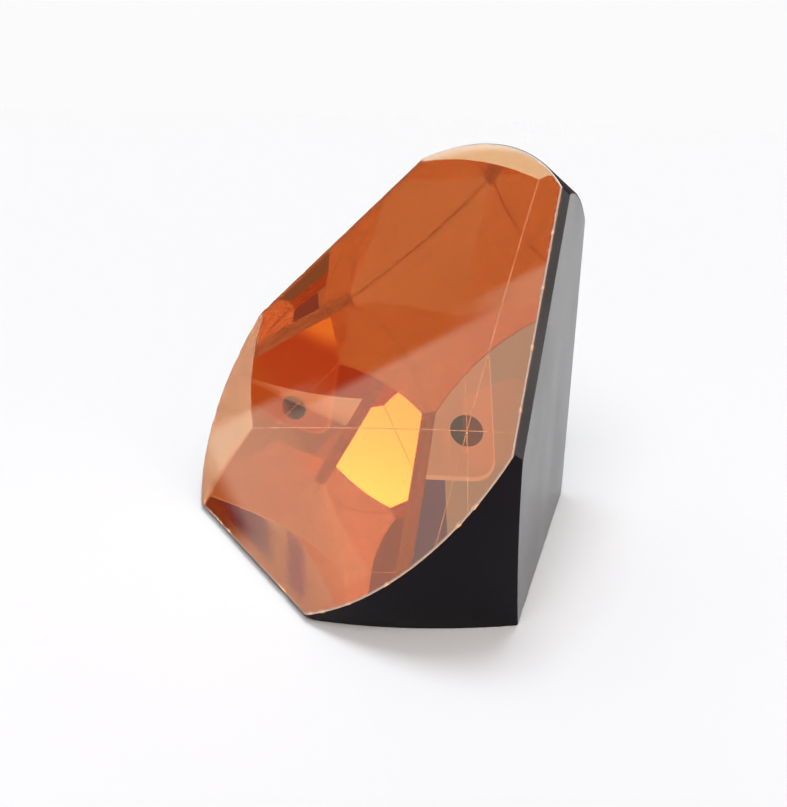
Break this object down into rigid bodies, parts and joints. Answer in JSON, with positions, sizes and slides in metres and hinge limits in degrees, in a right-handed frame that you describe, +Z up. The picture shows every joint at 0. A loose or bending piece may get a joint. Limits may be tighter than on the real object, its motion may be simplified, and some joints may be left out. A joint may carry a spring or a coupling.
{
  "type": "corner cube prism",
  "caption": "Solid glass corner cube retroreflector with a ground round edge, copper-coated and black-lacquered behind, lying on a reflecting face.",
  "frame": {"origin": "middle of the bounding box's footprint, on the underside of the base face's lacquer, where the prism rests", "axes": "+Z up from the base face; -Y to the front, where the entrance face looks out and up along (0, -0.816, 0.577); the upright roof edge is at the back, parallel to Z"},
  "size_m": [0.0644, 0.0486, 0.0495],
  "materials": {
    "optical_glass": "clear crown glass, polished entrance face, fine-ground bevels",
    "copper_mirror": "bright copper mirror film on polished glass",
    "copper_ground": "copper film on fine-ground glass, matt",
    "black_lacquer": "satin black protective lacquer, sprayed, with small specks and rubbed edges"
  },
  "bodies": {
    "root": {"glass_prism": "optical_glass", "copper_base_face": "copper_mirror", "copper_left_face": "copper_mirror", "copper_right_face": "copper_mirror", "copper_base_land": "copper_ground", "copper_left_land": "copper_ground", "copper_right_land": "copper_ground", "copper_top_barrel": "copper_ground", "copper_left_barrel": "copper_ground", "copper_right_barrel": "copper_ground", "lacquer_base_face": "black_lacquer", "lacquer_left_face": "black_lacquer", "lacquer_right_face": "black_lacquer", "lacquer_base_land": "black_lacquer", "lacquer_left_land": "black_lacquer", "lacquer_right_land": "black_lacquer", "lacquer_top_barrel": "black_lacquer", "lacquer_left_barrel": "black_lacquer", "lacquer_right_barrel": "black_lacquer"}
  },
  "joints": []
}
